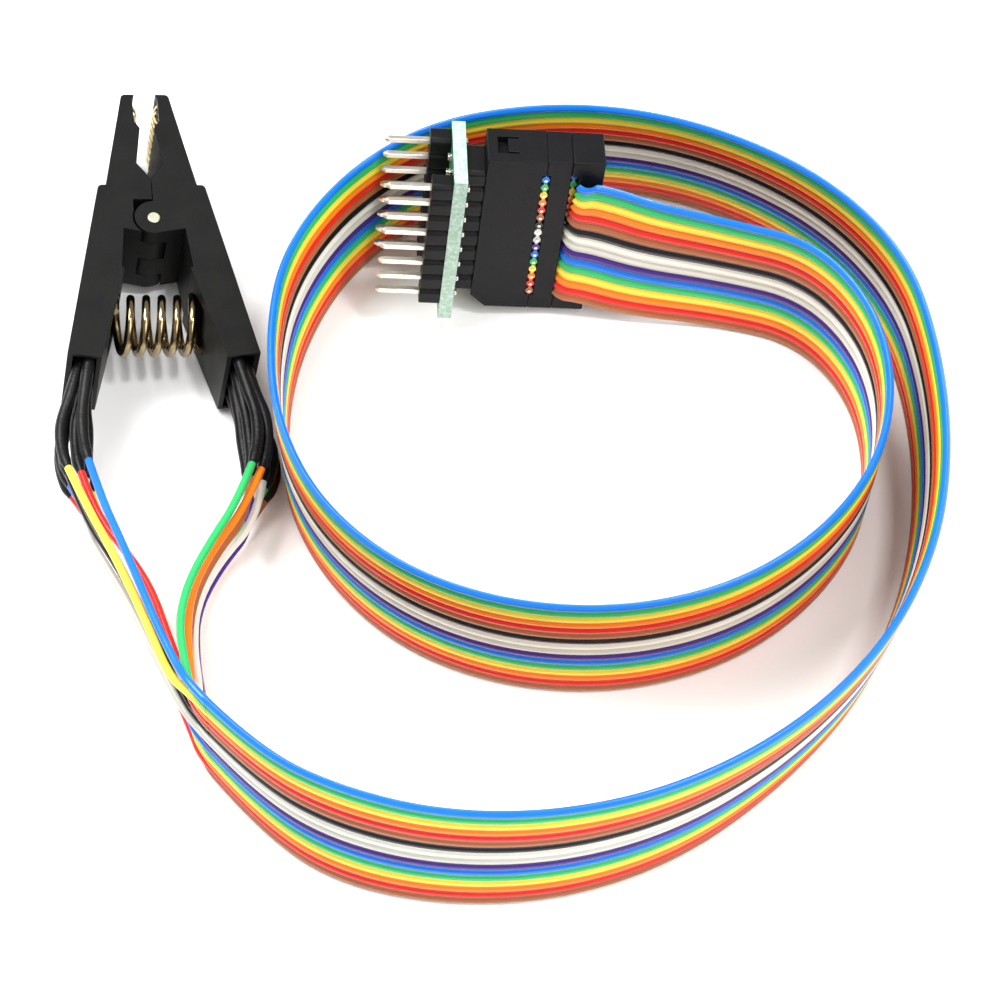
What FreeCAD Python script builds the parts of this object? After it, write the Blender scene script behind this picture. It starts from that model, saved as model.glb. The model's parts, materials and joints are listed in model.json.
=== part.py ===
import FreeCAD, Part
import math
import os
import Sketcher
from FreeCAD import Placement, Rotation, Vector

# A sixteen-way test clip for small-outline chips, on a rainbow ribbon cable whose other end
# is a socket pushed onto a small board with two rows of long pins.
# Millimetres, +Z up. The frame's origin is on the bench, under the middle of the clip,
# the socket and the board taken together.

doc = FreeCAD.newDocument("TestClipCable")

# Driving dimensions, in millimetres and degrees
SIZES = {
    # where things lie on the bench
    "pin_axis_x": -22.385, "pin_axis_y": 7.754,
    "clip_yaw": 6.3, "clip_roll": 9.5,
    "socket_x": 39.65, "socket_y": -0.65, "socket_height": 14.165,
    "socket_yaw": 1.2, "socket_pitch": 5.9, "socket_roll": -9.4,
    # clip half, seen from above: across the clip, and along it from the hinge pin
    "clip_thick": 11.6,
    "parting_gap": 0.05, "vee_along": 5.7,
    "throat_across": 1.6, "throat_along": 7.9,
    "lip_across": 0.87, "lip_along": 13.1,
    "recess_across": 1.54, "recess_start": 14.2, "recess_end": 17.4,
    "tip_inner": 1.28, "tip_outer": 2.86, "tip_along": 18.1,
    "nose_foot": 5.49, "shoulder": 6.4, "shoulder_along": 4.7,
    "heel_outer": 11.34, "heel_outer_along": -19.3,
    "heel_inner": 7.35, "heel_inner_along": -19.9,
    "waist_across": 3.95, "waist_along": -7.35,
    "window_across": 4.25, "window_low": -7.1,
    "window_top": 3.7, "window_top_along": -1.6,
    "nose_edge_radius": 0.6,
    # hinge
    "ear_radius": 2.3, "ear_pocket": 2.55, "ear_outer_thick": 2.4, "ear_gap": 0.1,
    "room_corner_across": 2.35, "room_corner_along": 2.6,
    "hinge_pin_radius": 0.8, "hinge_bore_radius": 0.83,
    # slots for the contacts, and the hollow where their tails meet the wires
    "contact_pitch": 1.27, "slot_width": 0.66, "slot_half": 0.35,
    "slot_front": 2.0, "slot_front_along": 17.6, "slot_back": 8.47, "slot_back_along": -15.6,
    "slot_mouth": 0.7, "knee_along": 12.9,
    "hollow_height": 10.7, "hollow_deep": -13.4,
    "hollow_deep_inner": 6.6, "hollow_deep_outer": 9.45,
    "hollow_mouth_inner": 7.95, "hollow_mouth_outer": 10.8, "hollow_mouth_along": -20.0,
    # contacts
    "contact_thick": 0.22, "contact_width": 0.5, "end_gap": 0.1,
    # spring
    "spring_radius": 3.25, "spring_wire": 0.95, "spring_turns": 5.6,
    "spring_along": -11.8, "spring_reach": 5.7, "spring_seat_radius": 4.0,
    # heat-shrink sleeves
    "sleeve_diameter": 1.5, "sleeve_step": 0.5, "sleeve_leave_along": -20.6,
    # ribbon and wires
    "wire_pitch": 1.27, "wire_diameter": 0.95, "split_reach": 2.4, "ribbon_thick": 0.9,
    "ribbon_fall": 18.0, "ribbon_step": 7.0,
    # ribbon socket
    "socket_long": 25.1, "socket_thick": 5.2, "body_deep": 7.05, "cover_deep": 2.95,
    "relief_deep": 3.8, "corner_cut": 1.9, "cavity": 1.2, "cavity_deep": 6.6,
    "latch_start": 1.2, "latch_long": 2.5, "latch_wide": 2.7, "latch_deep": 1.1,
    "tooth_long": 1.3, "tooth_wide": 2.2, "blade_start": 0.8, "blade_wide": 0.8,
    "blade_thick": 0.2,
    "key_long": 4.5, "key_proud": 0.9, "key_deep": 4.4,
    # board and pin headers
    "board_thick": 1.6, "board_wide": 10.2, "board_long": 23.3, "board_shift": -0.65,
    "plug_base": 2.3, "header_base": 2.5, "header_wide": 2.5, "pin_pitch": 2.54,
    "row_half": 3.81, "pin_side": 0.64, "pin_point": 0.5, "pin_out": 5.3,
    "pin_through": 0.4, "pin_in_socket": 5.8, "board_hole": 0.5, "notch": 0.45,
}

# Route of the ribbon's middle line, on from the socket to the split: across and along the
# bench from the hinge pin's axis, then how far the ribbon's top leans out, in degrees.
RIBBON_ROUTE = [
    (50.2, -4.35, 12.0), (53.2, -4.15, 12.0), (58.9, -4.6, 10.0), (69.0, -5.9, 6.0),
    (78.6, -8.6, 5.0), (84.8, -16.6, 4.2), (86.8, -26.8, 4.3), (84.7, -37.5, 3.5),
    (78.1, -46.7, 2.7), (68.2, -53.6, 1.3), (55.9, -56.8, 0.2), (42.9, -56.0, 0.0),
    (31.1, -51.3, 0.5), (22.2, -43.0, 1.8), (17.1, -32.4, 1.5), (16.0, -20.6, 2.5),
    (17.8, -9.2, 4.5), (23.8, 1.3, 1.5), (33.3, 9.0, -1.0), (45.4, 12.3, -4.0),
    (57.9, 12.3, -6.0), (70.4, 8.5, -6.0), (81.9, 0.9, -3.0), (89.5, -9.7, 1.5),
    (92.15, -21.6, 3.0), (92.4, -34.9, 5.8), (89.9, -47.7, 8.5), (83.95, -59.75, 8.8),
    (74.35, -70.1, 6.8), (62.3, -78.1, 1.0), (49.45, -82.1, -3.0), (36.3, -82.5, -5.0),
    (24.4, -79.6, -6.5), (15.7, -74.1, -2.0), (10.0, -67.7, 0.0),
]

# Routes of the two bundles of wires, on from the sleeves to the split, as the ribbon's, and
# how far the two columns of each bundle stand from its middle at each point, and how far
# each wire is tucked aside under the one above it.
LEFT_BUNDLE = [(-6.35, -33.6), (-4.2, -39.6), (-1.5, -45.2), (1.0, -50.4), (3.7, -56.6), (6.7, -63.3)]
LEFT_SPREAD = [1.3, 1.15, 0.85, 0.65, 0.6, 0.4]
LEFT_TUCK = [0.0, 0.0, 0.3, 0.38, 0.2, 0.05]
RIGHT_BUNDLE = [(14.2, -32.2), (13.0, -38.1), (10.6, -44.2), (8.3, -50.2), (7.5, -56.0), (8.1, -61.9)]
RIGHT_SPREAD = [0.5, 0.6, 0.65, 0.6, 0.5, 0.35]
RIGHT_TUCK = [0.0, 0.0, -0.12, -0.15, -0.1, 0.0]

CONTACTS = 8
WIRES = 16
KNEE_SHARE = 0.45    # an arc's share of the shorter run beside it
RING_SIDES = 8       # flats round a lofted wire or sleeve
RING_TURN = 15.0     # degrees of bend between the rings of a wire or sleeve
FOLD_TURN = 45.0     # and between the ribbon's sections
COIL_STEPS = 18      # rings in one turn of the spring
HOLE_SIDES = 10      # flats round a drilled hole of the board

sheet = doc.addObject("Spreadsheet::Sheet", "Sizes")
for row, (alias, value) in enumerate(SIZES.items(), start=1):
    sheet.set(f"A{row}", alias)
    sheet.set(f"B{row}", str(value))
    sheet.setAlias(f"B{row}", alias)
doc.recompute()

nodes = {}


def size(alias):
    return float(sheet.get(alias))


def signed(alias):
    """The value and the expression of a cell's name, with a minus sign allowed before it."""
    if alias.startswith("-"):
        return -size(alias[1:]), "-Sizes." + alias[1:]
    return size(alias), "Sizes." + alias


def add_node(name, thing, placement):
    thing.Label = name
    thing.Placement = placement
    nodes[name] = thing
    return thing


def add_shape(name, shape, placement):
    feature = doc.addObject("Part::Feature", name)
    feature.Shape = shape
    return add_node(name, feature, placement)


# Sketches and features of the moulded and cut pieces
def origin_plane(body, role):
    return next(f for f in body.Origin.OriginFeatures if f.Role == role)


def new_sketch(body, name, role="XY_Plane", height=0.0):
    sketch = body.newObject("Sketcher::SketchObject", name)
    sketch.AttachmentSupport = [(origin_plane(body, role), "")]
    sketch.MapMode = "FlatFace"
    sketch.AttachmentOffset = Placement(Vector(0, 0, height), Rotation())
    return sketch


def bind_point(sketch, line, x_alias, y_alias):
    for kind, alias in (("DistanceX", x_alias), ("DistanceY", y_alias)):
        value, expression = signed(alias)
        index = sketch.addConstraint(Sketcher.Constraint(kind, -1, 1, line, 1, value))
        sketch.setExpression(f"Constraints[{index}]", expression)


def outline(body, name, corners, role="XY_Plane", height=0.0):
    """A closed outline through corners, each a pair of cell names."""
    sketch = new_sketch(body, name, role, height)
    points = [Vector(signed(x)[0], signed(y)[0], 0) for x, y in corners]
    count = len(points)
    for i in range(count):
        sketch.addGeometry(Part.LineSegment(points[i], points[(i + 1) % count]), False)
    for i in range(count):
        sketch.addConstraint(Sketcher.Constraint("Coincident", i, 2, (i + 1) % count, 1))
    for i, (x_alias, y_alias) in enumerate(corners):
        bind_point(sketch, i, x_alias, y_alias)
    return sketch


def circle(body, name, radius_alias, role="XY_Plane", height=0.0, centre=(0.0, 0.0)):
    sketch = new_sketch(body, name, role, height)
    middle = Vector(centre[0], centre[1], 0)
    sketch.addGeometry(Part.Circle(middle, Vector(0, 0, 1), size(radius_alias)), False)
    index = sketch.addConstraint(Sketcher.Constraint("Radius", 0, size(radius_alias)))
    sketch.setExpression(f"Constraints[{index}]", "Sizes." + radius_alias)
    if middle.Length == 0:
        sketch.addConstraint(Sketcher.Constraint("Coincident", 0, 3, -1, 1))
    return sketch


def rectangle(body, name, x0, x1, y0, y1, role="XY_Plane", height=0.0):
    sketch = new_sketch(body, name, role, height)
    points = [Vector(x0, y0, 0), Vector(x1, y0, 0), Vector(x1, y1, 0), Vector(x0, y1, 0)]
    for i in range(4):
        sketch.addGeometry(Part.LineSegment(points[i], points[(i + 1) % 4]), False)
        sketch.addConstraint(Sketcher.Constraint("Block", i))
    return sketch


def pad(body, sketch, expression):
    feature = body.newObject("PartDesign::Pad", sketch.Name + "Pad")
    feature.Profile = sketch
    feature.setExpression("Length", expression)
    sketch.Visibility = False
    doc.recompute()
    return feature


def pocket(body, sketch, expression, upward=True):
    """Cuts along +Z of the sketch, or downward; it must take something away."""
    before = body.Shape.Volume
    feature = body.newObject("PartDesign::Pocket", sketch.Name + "Cut")
    feature.Profile = sketch
    feature.setExpression("Length", expression)
    feature.Reversed = upward
    doc.recompute()
    if body.Shape.Volume >= before:
        raise RuntimeError(f"{feature.Name} cuts nothing")
    return feature


def repeat(body, feature, sketch, axis, count, length):
    pattern = body.newObject("PartDesign::LinearPattern", feature.Name + "Row")
    pattern.Originals = [feature]
    pattern.Direction = (sketch, [axis])
    pattern.Length = length
    pattern.Occurrences = count
    body.Tip = pattern
    doc.recompute()
    return pattern


# Where the two assemblies lie
def clip_frame():
    """The clip rests on the outer edge of its right handle, its left side held up by the wires."""
    roll = math.radians(size("clip_roll"))
    middle = size("heel_outer") * math.sin(roll) + size("clip_thick") / 2 * math.cos(roll)
    place = Vector(size("pin_axis_x"), size("pin_axis_y"), middle)
    return Placement(place, Rotation(size("clip_yaw"), size("clip_roll"), 0))


def socket_frame():
    place = bench(size("socket_x"), size("socket_y"), size("socket_height"))
    return Placement(place, Rotation(size("socket_yaw"), size("socket_pitch"), size("socket_roll")))


def bench(across, along, height):
    """A point of the layout, which is measured from the hinge pin's axis."""
    return Vector(size("pin_axis_x") + across, size("pin_axis_y") + along, height)


CLIP = clip_frame()
SOCKET = socket_frame()
TURNED = Placement(Vector(), Rotation(Vector(0, 1, 0), 180))
SIDES = {"right": CLIP, "left": CLIP.multiply(TURNED)}


# Clip halves: one moulding used twice, the second turned over about the clip's length
def contact_levels():
    top = (CONTACTS - 1) / 2 * size("contact_pitch")
    return [top - i * size("contact_pitch") for i in range(CONTACTS)]


def clip_half(side):
    body = doc.addObject("PartDesign::Body", "ClipHalf" + side.title())
    half = size("clip_thick") / 2
    profile = outline(body, "HalfOutline" + side, [
        ("parting_gap", "vee_along"), ("throat_across", "throat_along"),
        ("lip_across", "lip_along"), ("recess_across", "recess_start"),
        ("recess_across", "recess_end"), ("tip_inner", "tip_along"),
        ("tip_outer", "tip_along"), ("nose_foot", "shoulder_along"),
        ("shoulder", "shoulder_along"), ("heel_outer", "heel_outer_along"),
        ("heel_inner", "heel_inner_along"), ("waist_across", "waist_along"),
        ("window_across", "window_low"), ("window_top", "window_top_along"),
        ("parting_gap", "-ear_radius"),
    ], height=-half)
    pad(body, profile, "Sizes.clip_thick")
    round_nose(body)
    cut_knuckles(body, side, half)
    bore = circle(body, "HingeBore" + side, "hinge_bore_radius", height=-half)
    pocket(body, bore, "Sizes.clip_thick")
    cut_slots(body, side)
    hollow = outline(body, "HandleHollow" + side, [
        ("hollow_deep_inner", "hollow_deep"), ("hollow_mouth_inner", "hollow_mouth_along"),
        ("hollow_mouth_outer", "hollow_mouth_along"), ("hollow_deep_outer", "hollow_deep"),
    ], height=-size("hollow_height") / 2)
    pocket(body, hollow, "Sizes.hollow_height")
    seat = circle(body, "SpringSeat" + side, "spring_seat_radius", "YZ_Plane", 0.0,
                  (size("spring_along"), 0.0))
    seat.AttachmentOffset = Placement(Vector(0, 0, size("waist_across") - 0.5), Rotation())
    pocket(body, seat, "Sizes.spring_reach - Sizes.waist_across + 0.55")
    return add_node("clip_half_" + side, body, SIDES[side])


def cut_knuckles(body, side, half):
    """Ears at the top and below the middle; between them room for the other half's ears."""
    outer = size("ear_outer_thick")
    inner = half - outer
    gap = size("ear_gap")
    rooms = [(-half, outer + gap), (-gap / 2, inner + gap)]
    for i, (start, thick) in enumerate(rooms):
        room = circle(body, f"EarRoom{side}{i}", "ear_pocket", height=start)
        pocket(body, room, str(thick))
        corner = rectangle(body, f"RoomCorner{side}{i}", 0.0, size("room_corner_across"),
                           0.0, size("room_corner_along"), height=start)
        pocket(body, corner, str(thick))
    for i, (start, thick) in enumerate([(half - outer, outer), (-inner + gap / 2, inner - gap)]):
        ear = circle(body, f"Ear{side}{i}", "ear_radius", height=start)
        pad(body, ear, str(thick))


def slot_line(along):
    """The middle of a slot, at a distance along the clip from the hinge pin."""
    front = Vector(size("slot_front"), size("slot_front_along"), 0)
    back = Vector(size("slot_back"), size("slot_back_along"), 0)
    return front + (back - front) * ((along - front.y) / (back.y - front.y))


def cut_slots(body, side):
    """A slot for each contact, open to the mouth along the tip and running back to the hollow."""
    front = slot_line(size("slot_front_along"))
    back = slot_line(size("slot_back_along"))
    line = (back - front).normalize()
    aside = Vector(-line.y, line.x, 0) * size("slot_half")
    knee = slot_line(size("knee_along"))
    level = contact_levels()[-1] - size("slot_width") / 2
    sketch = new_sketch(body, "ContactSlot" + side, height=level)
    mouth = size("slot_mouth")
    if (front + aside).x < (front - aside).x:
        aside = aside * -1
    points = [front + aside, back + aside, back - aside, knee - aside,
              Vector(mouth, knee.y, 0), Vector(mouth, front.y, 0)]
    for i, point in enumerate(points):
        sketch.addGeometry(Part.LineSegment(point, points[(i + 1) % len(points)]), False)
        sketch.addConstraint(Sketcher.Constraint("Block", i))
    slot = pocket(body, sketch, "Sizes.slot_width")
    repeat(body, slot, sketch, "N_Axis", CONTACTS, size("contact_pitch") * (CONTACTS - 1))


def round_nose(body):
    """Small radii on the upright outer edges of the nose and the shoulder."""
    corners = [("tip_outer", "tip_along"), ("shoulder", "shoulder_along")]
    wanted = [Vector(size(x), size(y), 0) for x, y in corners]
    names = []
    for i, edge in enumerate(body.Shape.Edges, start=1):
        middle = edge.CenterOfMass
        upright = edge.BoundBox.ZLength > 0.9 * size("clip_thick")
        if upright and any(math.hypot(middle.x - w.x, middle.y - w.y) < 0.05 for w in wanted):
            names.append(f"Edge{i}")
    base = body.Tip
    fillet = body.newObject("PartDesign::Fillet", "NoseEdges" + body.Name)
    fillet.Base = (base, names)
    fillet.setExpression("Radius", "Sizes.nose_edge_radius")
    doc.recompute()


def hinge_pin():
    pin = doc.addObject("Part::Cylinder", "HingePin")
    pin.setExpression("Radius", "Sizes.hinge_pin_radius")
    pin.setExpression("Height", "Sizes.clip_thick")
    drop = Placement(Vector(0, 0, -size("clip_thick") / 2), Rotation())
    return add_node("hinge_pin", pin, CLIP.multiply(drop))


# Contacts: bent strips with a bump that presses on a leg of the chip
def bent_strip(points, thick, width):
    """A strip through points, thick in their plane and width across it."""
    left = []
    right = []
    for i, point in enumerate(points):
        before = points[max(i - 1, 0)]
        after = points[min(i + 1, len(points) - 1)]
        along = (after - before).normalize()
        aside = Vector(-along.y, along.x, 0) * (thick / 2)
        left.append(point + aside)
        right.append(point - aside)
    drop = Vector(0, 0, -width / 2)
    corners = [corner + drop for corner in left + right[::-1]]
    return Part.Face(Part.makePolygon(corners + corners[:1])).extrude(Vector(0, 0, width))


def contacts(side):
    line = [
        Vector(1.62, 17.3, 0), Vector(1.12, 16.5, 0), Vector(1.0, 15.7, 0),
        Vector(1.25, 14.8, 0), slot_line(size("knee_along")),
        slot_line(size("slot_back_along") + size("end_gap")),
    ]
    strip = bent_strip(line, size("contact_thick"), size("contact_width"))
    sign = 1 if side == "right" else -1
    for i, level in enumerate(contact_levels(), start=1):
        lift = Placement(Vector(0, 0, sign * level), Rotation())
        add_shape(f"contact_{side}_{i}", strip.copy(), SIDES[side].multiply(lift))


def ring(centre, out, up, diameter):
    """A flat-sided ring of the wire's section; out and up are square to the wire."""
    corners = []
    for k in range(RING_SIDES):
        turn = 2 * math.pi * k / RING_SIDES
        corners.append(centre + (out * math.cos(turn) + up * math.sin(turn)) * (diameter / 2))
    return Part.makePolygon(corners + corners[:1])


def spring():
    """A helix across the clip, its ends in the seats of the two handles."""
    turns = size("spring_turns")
    radius = size("spring_radius")
    length = 2 * size("spring_reach") - size("spring_wire")
    slope = math.atan2(length / turns, 2 * math.pi * radius)
    count = round(turns * COIL_STEPS)
    rings = []
    for i in range(count + 1):
        turn = math.pi + 2 * math.pi * turns * i / count
        out = Vector(math.cos(turn), math.sin(turn), 0)
        along = Vector(-out.y * math.cos(slope), out.x * math.cos(slope), math.sin(slope))
        centre = out * radius + Vector(0, 0, length * i / count)
        rings.append(ring(centre, out, out.cross(along), size("spring_wire")))
    coil = Part.makeLoft(rings, True, True)
    lie = Placement(Vector(-length / 2, size("spring_along"), 0), Rotation(Vector(0, 1, 0), 90))
    return add_shape("spring", coil, CLIP.multiply(lie))


# Tubes: straight runs joined by tangent arcs
def smooth_path(points, label):
    """The path through points, each corner an arc as large as its two runs allow."""
    edges = []
    radii = []
    last = points[0]
    for before, knee, after in zip(points, points[1:], points[2:]):
        back = before - knee
        ahead = after - knee
        reach = KNEE_SHARE * min(back.Length, ahead.Length)
        back.normalize()
        ahead.normalize()
        turn = math.pi - back.getAngle(ahead)
        radius = reach / math.tan(turn / 2)
        radii.append(radius)
        start = knee + back * reach
        end = knee + ahead * reach
        towards = (back + ahead).normalize()
        middle = knee + towards * (radius / math.cos(turn / 2) - radius)
        edges.append(Part.LineSegment(last, start).toShape())
        edges.append(Part.Arc(start, middle, end).toShape())
        last = end
    edges.append(Part.LineSegment(last, points[-1]).toShape())
    print(f"{label}: smallest arc radius {min(radii):.1f} mm")
    return Part.Wire(edges)


def bend(edge):
    """How far an edge turns, in degrees."""
    low, high = edge.ParameterRange
    return math.degrees(edge.tangentAt(low).getAngle(edge.tangentAt(high)))


def tube(points, diameter, label):
    """A tube with few faces, its rings turned about the path as little as they can be."""
    path = smooth_path(points, label)
    along = (points[1] - points[0]).normalize()
    out = along.cross(Vector(0, 0, 1)).normalize()
    rings = [ring(points[0], out, along.cross(out), diameter)]
    for edge in path.Edges:
        low, high = edge.ParameterRange
        steps = max(math.ceil(bend(edge) / RING_TURN), 1)
        for k in range(1, steps + 1):
            where = low + (high - low) * k / steps
            along = edge.tangentAt(where)
            out = (out - along * out.dot(along)).normalize()
            rings.append(ring(edge.valueAt(where), out, along.cross(out), diameter))
    solid = Part.makeLoft(rings, True, True)
    plain = RING_SIDES / 2 * math.sin(2 * math.pi / RING_SIDES) * (diameter / 2) ** 2 * path.Length
    print(f"{label}: length {path.Length:.1f} mm, volume over section times length "
          f"{solid.Volume / plain:.3f}")
    return solid


def sleeve_column(i):
    """Sleeves alternate between an inner column, -1, and an outer one, +1."""
    return -1 if i % 2 == 0 else 1


def sleeve_points(side, i):
    """From the contact's tail, out of the handle's mouth, to where the bare wire starts."""
    sign = 1 if side == "right" else -1
    column = sign * sleeve_column(i) * size("sleeve_step")
    level = contact_levels()[i]
    back = size("slot_back_along")
    leave = size("sleeve_leave_along")
    deep = (size("hollow_deep_inner") + size("hollow_deep_outer")) / 2
    mouth = (size("hollow_mouth_inner") + size("hollow_mouth_outer")) / 2
    slope = (mouth - deep) / (size("hollow_mouth_along") - size("hollow_deep"))
    tail = Vector(sign * (deep + slope * (back - size("hollow_deep"))) + column, back, level)
    lip = Vector(sign * (deep + slope * (leave - size("hollow_deep"))) + column, leave, level)
    tail = CLIP.multVec(tail)
    lip = CLIP.multVec(lip)
    end = bundle_point(side, i, 0)
    ahead = (bundle_point(side, i, 1) - end).normalize()
    return [tail, lip, end - ahead * (0.35 * (end - lip).Length), end]


def bundle_point(side, i, step):
    """Where wire i of a bundle passes the bundle's point number step."""
    if side == "right":
        bundle, spread, tuck, sign = RIGHT_BUNDLE, RIGHT_SPREAD, RIGHT_TUCK, 1
    else:
        bundle, spread, tuck, sign = LEFT_BUNDLE, LEFT_SPREAD, LEFT_TUCK, -1
    across, along = bundle[step]
    start = CLIP.multVec(Vector(sign * size("slot_back"), size("heel_outer_along"), contact_levels()[i]))
    finish = split_height(wire_number(side, i))
    share = step / len(bundle)
    height = start.z + (finish - start.z) * share
    return bench(across + sign * sleeve_column(i) * spread[step] + tuck[step] * i, along, height)


def sleeves(side):
    tubes = []
    for i in range(CONTACTS):
        points = sleeve_points(side, i)
        tubes.append(tube(points, size("sleeve_diameter"), f"sleeve {side} {i + 1}"))
    add_shape("sleeves_" + side, Part.makeCompound(tubes), Placement())


def wire_number(side, i):
    """Even conductors go to the left handle and odd ones to the right, the highest on top."""
    top = WIRES if side == "left" else WIRES - 1
    return top - 2 * i


def split_height(number):
    return size("wire_pitch") * (number - 0.5) + 0.02


def wires():
    end = bench(*RIBBON_ROUTE[-1][:2], 0)
    travel = (end - bench(*RIBBON_ROUTE[-2][:2], 0)).normalize()
    for side in ("left", "right"):
        bundle = LEFT_BUNDLE if side == "left" else RIGHT_BUNDLE
        for i in range(CONTACTS):
            number = wire_number(side, i)
            points = [bundle_point(side, i, step) for step in range(len(bundle))]
            points[0] += (points[1] - points[0]).normalize() * (size("end_gap") / 2)
            gap = size("end_gap") / 2
            for reach in (size("split_reach"), gap):
                points.append(end + travel * reach + Vector(0, 0, split_height(number)))
            name = f"wire_{number:02d}"
            add_shape(name, tube(points, size("wire_diameter"), name), Placement())


# Ribbon
def held_path():
    """In the socket's own axes: in at the near face, round the cover's far end, and back out."""
    near = -size("socket_thick") / 2
    far = size("socket_thick") / 2 + 0.1
    clamp = size("body_deep")
    leave = size("body_deep") + size("cover_deep") + size("ribbon_thick") / 2
    radius = (leave - clamp) / 2
    points = [Vector(clamp, near, 0), Vector(clamp, far, 0), Vector(leave, far, 0), Vector(leave, near, 0)]
    top = Vector(clamp + radius, far + radius, 0)
    return Part.Wire([
        Part.LineSegment(points[0], points[1]).toShape(),
        Part.Arc(points[1], top, points[2]).toShape(),
        Part.LineSegment(points[2], points[3]).toShape(),
    ]), points[3]


def ribbon_section(centre, along, up):
    """The ribbon's flat section as a closed wire."""
    aside = along.cross(up).normalize()
    half_thick = aside * (size("ribbon_thick") / 2)
    half_wide = up * (WIRES * size("wire_pitch") / 2)
    corners = [centre - half_thick - half_wide, centre + half_thick - half_wide,
               centre + half_thick + half_wide, centre - half_thick + half_wide]
    return Part.makePolygon(corners + corners[:1])


def ribbon_in_connector():
    path, _ = held_path()
    section = ribbon_section(Vector(size("body_deep"), -size("socket_thick") / 2, 0),
                             Vector(0, 1, 0), Vector(0, 0, 1))
    add_shape("ribbon_in_connector", path.makePipeShell([section], True, False), SOCKET)


def ribbon_cable():
    """The free stretch: a flat band on its edge, which leans as its route says."""
    _, leave = held_path()
    first = SOCKET.multVec(leave)
    out = SOCKET.Rotation.multVec(Vector(0, -1, 0))
    tilt = SOCKET.Rotation.multVec(Vector(0, 0, 1))
    flat = [Vector(first.x, first.y, 0)]
    flat += [bench(x, y, 0) for x, y, _ in RIBBON_ROUTE]
    path = smooth_path(flat, "ribbon")
    print(f"ribbon: free length {path.Length:.1f} mm")
    sections = [ribbon_section(first, out, tilt)]
    travelled = 0.0
    for edge in path.Edges:
        low, high = edge.ParameterRange
        steps = max(round(edge.Length / size("ribbon_step")), math.ceil(bend(edge) / FOLD_TURN), 1)
        for k in range(1, steps + 1):
            where = low + (high - low) * k / steps
            share = (travelled + edge.Length * k / steps) / path.Length
            point, along = edge.valueAt(where), edge.tangentAt(where)
            sections.append(standing_section(point, along, share * path.Length, path.Length, tilt, first.z))
        travelled += edge.Length
    add_shape("ribbon_cable", Part.makeLoft(sections, True, True), Placement())


def route_lean(done, whole):
    """The lean at a place along the ribbon, read between the route's points."""
    places = [0.0]
    for before, after in zip(RIBBON_ROUTE, RIBBON_ROUTE[1:]):
        places.append(places[-1] + math.hypot(after[0] - before[0], after[1] - before[1]))
    where = min(done / whole, 1.0) * places[-1]
    for i in range(1, len(places)):
        if where <= places[i] or i == len(places) - 1:
            share = (where - places[i - 1]) / (places[i] - places[i - 1])
            return RIBBON_ROUTE[i - 1][2] * (1 - share) + RIBBON_ROUTE[i][2] * share


def standing_section(point, along, done, whole, tilt, start_height):
    """The ribbon's section at a point of its route, settling onto the bench as it leaves the socket."""
    lean = math.radians(route_lean(done, whole))
    outward = Vector(-along.y, along.x, 0)
    standing = Vector(0, 0, 1) * math.cos(lean) + outward * math.sin(lean)
    settled = min(done / size("ribbon_fall"), 1.0)
    settled = settled * settled * (3 - 2 * settled)
    up = (tilt * (1 - settled) + standing * settled).normalize()
    half_wide = WIRES * size("wire_pitch") / 2
    low = half_wide * up.z + size("ribbon_thick") / 2 * math.sqrt(1 - up.z ** 2) + 0.02
    height = start_height * (1 - settled) + low * settled
    return ribbon_section(Vector(point.x, point.y, max(height, low)), along, up)


# Ribbon socket: body, piercing cover, strain relief and the contacts inside
def block(name, x0, x1, y0, y1, z0, z1):
    box = doc.addObject("Part::Box", name)
    box.Length = x1 - x0
    box.Width = y1 - y0
    box.Height = z1 - z0
    box.Placement = Placement(Vector(x0, y0, z0), Rotation())
    return box


def cut(name, base, tools):
    tool = tools[0]
    if len(tools) > 1:
        tool = doc.addObject("Part::MultiFuse", name + "Tools")
        tool.Shapes = tools
    result = doc.addObject("Part::Cut", name)
    result.Base = base
    result.Tool = tool
    return result


def pin_places():
    """The two rows of eight places, rows near and far, as they stand in the socket."""
    pitch = size("pin_pitch")
    heights = [(3.5 - i) * pitch for i in range(CONTACTS)]
    return [(row * pitch / 2, height) for row in (-1, 1) for height in heights]


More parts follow.
